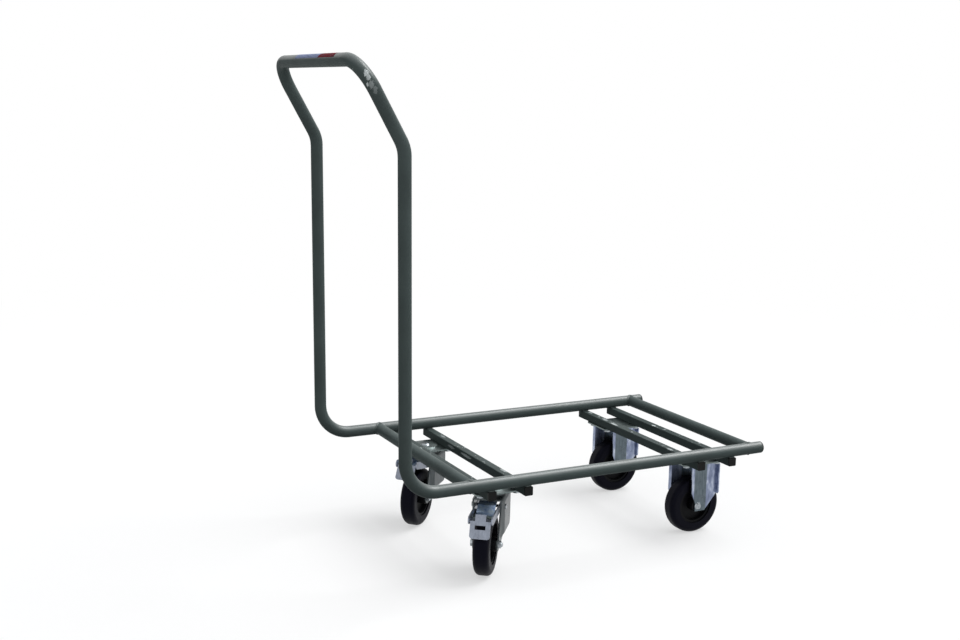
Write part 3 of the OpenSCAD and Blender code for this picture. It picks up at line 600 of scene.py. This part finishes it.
class TROLLEY_OT_welds(bpy.types.Operator):
    """Lays rippled weld beads at the cross tubes and where the rails lie on the bars"""
    bl_idname = "trolley.welds"
    bl_label = "Weld Beads"

    def execute(self, context):
        look, sizes = context.scene.trolley_finish, context.scene.trolley_sizes
        draw = random.Random(11)
        whole = Merged()
        for side in (1, -1):
            for name in TUBES:
                whole.take(*self.seam(middle(name).x, side, sizes, draw))
            for name in BARS:
                for inner in (1, -1):
                    whole.take(*self.fillet(name, side, inner, sizes, draw))
        paint = painted_steel(look, "gloss enamel on weld metal")
        piece = build_object("weld_seams", whole.verts, whole.faces, paint, "frame")
        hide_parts("weld_beads")
        return {"FINISHED"}

    def seam(self, x, side, sizes, draw):
        """Seam of two equal tubes that meet at a right angle, 2% outside them."""
        count, proud = 66, 1.02
        r = RAIL_D / 2
        path, normals = [], []
        for k in range(count):
            a = 2 * math.pi * k / count
            dx, dz = r * math.cos(a), r * math.sin(a)
            dy = math.sqrt(max(0.0, r * r - dz * dz))
            path.append(Vector((x + dx * proud, side * (TRACK / 2 - dy * proud),
                                RAIL_Z + dz * proud)))
            out = Vector((math.cos(a), -side * max(0.15, dy / r), math.sin(a)))
            normals.append(out.normalized())
        return bead(path, normals, True, 2 * math.pi * r / count, sizes.weld_ripple,
                    sizes.weld_width, 1.5 * MM, draw)

    def fillet(self, name, side, inner, sizes, draw):
        """Short bead beside a rail on a bar's top, where the tube is 1.6 mm above it."""
        count, inset, lift = 16, 1.5 * MM, 0.5 * MM
        r = RAIL_D / 2
        low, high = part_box(name)
        start, end = low.x + inset, high.x - inset
        off = math.sqrt(r * r - (r - 1.6 * MM) ** 2)
        path = [Vector((start + (end - start) * k / (count - 1), side * TRACK / 2 + inner * off,
                        high.z + lift)) for k in range(count)]
        normals = [Vector((0, inner * 0.75, 0.66)).normalized()] * count
        return bead(path, normals, False, (end - start) / (count - 1), sizes.weld_ripple,
                    1.9 * MM, 1.4 * MM, draw)


class TROLLEY_OT_plastic_ends(bpy.types.Operator):
    """Finishes the plastic caps of the bars and the plugs of the rails"""
    bl_idname = "trolley.plastic_ends"
    bl_label = "Plastic Ends"

    def execute(self, context):
        plastic = moulded_plastic("moulded black polyethylene", "#131414", 0.9, 0.42)
        for name in ("bar_end_caps", "rail_end_plugs"):
            give(name, plastic)
        return {"FINISHED"}


class TROLLEY_OT_fasteners(bpy.types.Operator):
    """Finishes bolts, nuts, pins, sleeves and bearing balls"""
    bl_idname = "trolley.fasteners"
    bl_label = "Fasteners"

    def execute(self, context):
        metal = zinc_fastener()
        balls = polished_balls()
        endings = ("bolts", "nuts", "king_pin", "axle_bolt", "axle_nut", "axle_sleeve", "axle_pin",
                   "pivot_pin")
        for name in NODES:
            if name.endswith(endings):
                give(name, metal)
            if name.endswith("_balls"):
                give(name, balls)
        return {"FINISHED"}


class TROLLEY_OT_casters(bpy.types.Operator):
    """Finishes the plates, forks, pedals, shoes and spring leaves of the casters"""
    bl_idname = "trolley.casters"
    bl_label = "Caster Metal"

    def execute(self, context):
        look = context.scene.trolley_finish
        sheet = zinc_sheet(look, "bright zinc on pressed steel")
        # The swivel forks are a darker copy of the zinc: painted shade
        fork = zinc_sheet(look, "zinc in painted shade on bent fork sheet", "#343a38")
        # The pedals are a paler copy of the zinc: painted highlight
        pale = zinc_sheet(look, "zinc with painted highlight on pedal sheet", "#868c99")
        spring = blued_spring()
        # The fixed forks are a bluer copy of the zinc, with painted reflection on their flanges
        fixed = zinc_sheet(look, "zinc with painted flange reflection on stepped fork sheet", "#566268",
                           middle("front_left_fork").x)
        for name in NODES:
            if name.endswith(("top_plate", "brake_shoe")):
                give(name, sheet)
            if name.endswith("fork"):
                give(name, fixed if name.startswith("front") else fork)
            if name.endswith("brake_pedal"):
                give(name, pale)
            if name.endswith("leaf_spring"):
                give(name, spring)
        return {"FINISHED"}


class TROLLEY_OT_wheels(bpy.types.Operator):
    """Finishes the tyres and the wheel centres"""
    bl_idname = "trolley.wheels"
    bl_label = "Wheels"

    def execute(self, context):
        rubber = tyre_rubber(context.scene.trolley_finish)
        centre = moulded_plastic("moulded black polypropylene", "#07080b", 1.2, 0.5)
        for name in NODES:
            if name.endswith("_tyre"):
                give(name, rubber)
            if name.endswith("_rim"):
                give(name, centre)
        return {"FINISHED"}


class TROLLEY_OT_grip_label(bpy.types.Operator):
    """Lays a plain two-colour label round the back of the push bar"""
    bl_idname = "trolley.grip_label"
    bl_label = "Grip Label"

    def execute(self, context):
        look, sizes = context.scene.trolley_finish, context.scene.trolley_sizes
        glue = 0.06 * MM
        r = RAIL_D / 2 + glue
        rings = []
        along, round_about = 60, 22
        # The film covers the bar's top and back, measured up from the bar's front
        first, last = math.radians(52), math.radians(158)
        for k in range(along + 1):
            y = sizes.label_start + (sizes.label_end - sizes.label_start) * k / along
            ring = []
            for j in range(round_about + 1):
                a = first + (last - first) * j / round_about
                ring.append((GRIP_X + r * math.cos(a), y, GRIP_Z + r * math.sin(a)))
            rings.append(ring)
        verts = [v for ring in rings for v in ring]
        piece = build_object("grip_label", verts, ring_strip(rings, False, False),
                             label_film(look), "frame")
        solid = piece.modifiers.new("film", "SOLIDIFY")
        solid.thickness = sizes.label_thick
        solid.offset = 1
        return {"FINISHED"}


class TROLLEY_OT_stage(bpy.types.Operator):
    """Sets the floor, the soft light and the camera"""
    bl_idname = "trolley.stage"
    bl_label = "Stage"

    def execute(self, context):
        stage = context.scene.trolley_stage
        scene = context.scene
        scene.view_settings.view_transform = "Standard"
        self.make_floor(scene, stage)
        self.make_world(scene)
        # name, direction that the light comes from, strength, spread in degrees
        for name, spot, power, spread in (
                ("overhead light", (0.54, 0.04, 0.84), 1.9, 36),
                ("low light", (0.56, -0.45, 0.70), 0.7, 45),
                ("fill light", (-0.40, -0.90, 0.70), 0.25, 60)):
            lamp = bpy.data.lights.new(name, "SUN")
            lamp.energy, lamp.angle = power, math.radians(spread)
            light = bpy.data.objects.new(name, lamp)
            scene.collection.objects.link(light)
            light.location = spot
            light.rotation_euler = (-Vector(spot)).to_track_quat("-Z", "Y").to_euler()
        self.make_camera(scene, stage)
        return {"FINISHED"}

    def make_floor(self, scene, stage):
        """Round floor with rings that lie closer near the middle."""
        rings, spokes = 24, 48
        turns = [2 * math.pi * j / spokes for j in range(spokes)]
        verts = [(0, 0, 0)]
        for k in range(1, rings + 1):
            r = stage.floor_size / 2 * (k / rings) ** 2
            verts += [(r * math.cos(a), r * math.sin(a), 0) for a in turns]
        faces = [(0, 1 + j, 1 + (j + 1) % spokes) for j in range(spokes)]
        for k in range(rings - 1):
            for j in range(spokes):
                a, b = 1 + k * spokes, 1 + (k + 1) * spokes
                faces.append((a + j, b + j, b + (j + 1) % spokes, a + (j + 1) % spokes))
        mesh = bpy.data.meshes.new("studio_floor")
        mesh.from_pydata(verts, [], faces)
        mesh.materials.append(white_board(stage.shadow))
        floor = bpy.data.objects.new("studio_floor", mesh)
        scene.collection.objects.link(floor)

    def make_world(self, scene):
        """Plain white where it is seen, and a soft light that is stronger from above."""
        world = bpy.data.worlds.new("studio")
        scene.world = world
        world.use_nodes = True
        tree = world.node_tree
        white = add(tree, "Background", {"Color": (1, 1, 1, 1), "Strength": 1.0})
        height = add(tree, "SeparateXYZ", {"Vector": add(tree, "TexCoord", {}, "Generated")}, "Z")
        ceiling = add(tree, "Math", {0: height, 1: 0.45, 2: 0.15}, operation="MULTIPLY_ADD")
        soft = add(tree, "Background", {"Color": linear("#f4f7fa"), "Strength": ceiling})
        both = add(tree, "MixShader", {0: seen_ray(tree), 1: soft, 2: white})
        tree.links.new(both, tree.nodes["World Output"].inputs["Surface"])

    def make_camera(self, scene, stage):
        yaw, pitch, roll = stage.camera_yaw, stage.camera_pitch, stage.camera_roll
        ahead = Vector((math.sin(yaw) * math.cos(pitch), math.cos(yaw) * math.cos(pitch),
                        -math.sin(pitch)))
        right = Vector((math.cos(yaw), -math.sin(yaw), 0))
        down = ahead.cross(right)
        c, s = math.cos(roll), math.sin(roll)
        across, below = right * c + down * s, down * c - right * s
        lens = bpy.data.cameras.new("camera")
        lens.lens, lens.sensor_width, lens.sensor_fit = stage.lens, 36.0, "HORIZONTAL"
        lens.clip_start, lens.clip_end = 0.05, 60
        camera = bpy.data.objects.new("camera", lens)
        scene.collection.objects.link(camera)
        turn = Matrix((across, -below, -ahead)).transposed().to_4x4()
        camera.matrix_world = Matrix.Translation(Vector(stage.camera_place)) @ turn
        scene.camera = camera


class TROLLEY_PT_panel(bpy.types.Panel):
    """Lists the steps and the sizes and colours that can be changed"""
    bl_idname = "TROLLEY_PT_panel"
    bl_label = "Crate Trolley"
    bl_space_type = "VIEW_3D"
    bl_region_type = "UI"
    bl_category = "Trolley"

    def draw(self, context):
        for kind in OPERATORS:
            self.layout.operator(kind.bl_idname)
        for group in GROUPS:
            box = self.layout.box()
            settings = getattr(context.scene, group)
            for name in settings.__annotations__:
                box.prop(settings, name)


OPERATORS = (TROLLEY_OT_frame, TROLLEY_OT_welds, TROLLEY_OT_plastic_ends, TROLLEY_OT_fasteners,
             TROLLEY_OT_casters, TROLLEY_OT_wheels, TROLLEY_OT_grip_label, TROLLEY_OT_stage)
GROUPS = {"trolley_finish": TrolleyFinish, "trolley_sizes": TrolleySizes,
          "trolley_stage": TrolleyStage}


def register():
    for kind in (*GROUPS.values(), *OPERATORS, TROLLEY_PT_panel):
        bpy.utils.register_class(kind)
    for name, kind in GROUPS.items():
        setattr(bpy.types.Scene, name, bpy.props.PointerProperty(type=kind))


def unregister():
    for name in GROUPS:
        delattr(bpy.types.Scene, name)
    for kind in (TROLLEY_PT_panel, *reversed(OPERATORS), *GROUPS.values()):
        bpy.utils.unregister_class(kind)


def main():
    register()
    for kind in OPERATORS:
        group, step = kind.bl_idname.split(".")
        getattr(getattr(bpy.ops, group), step)()
    bpy.context.view_layer.update()


if __name__ == "__main__":
    main()
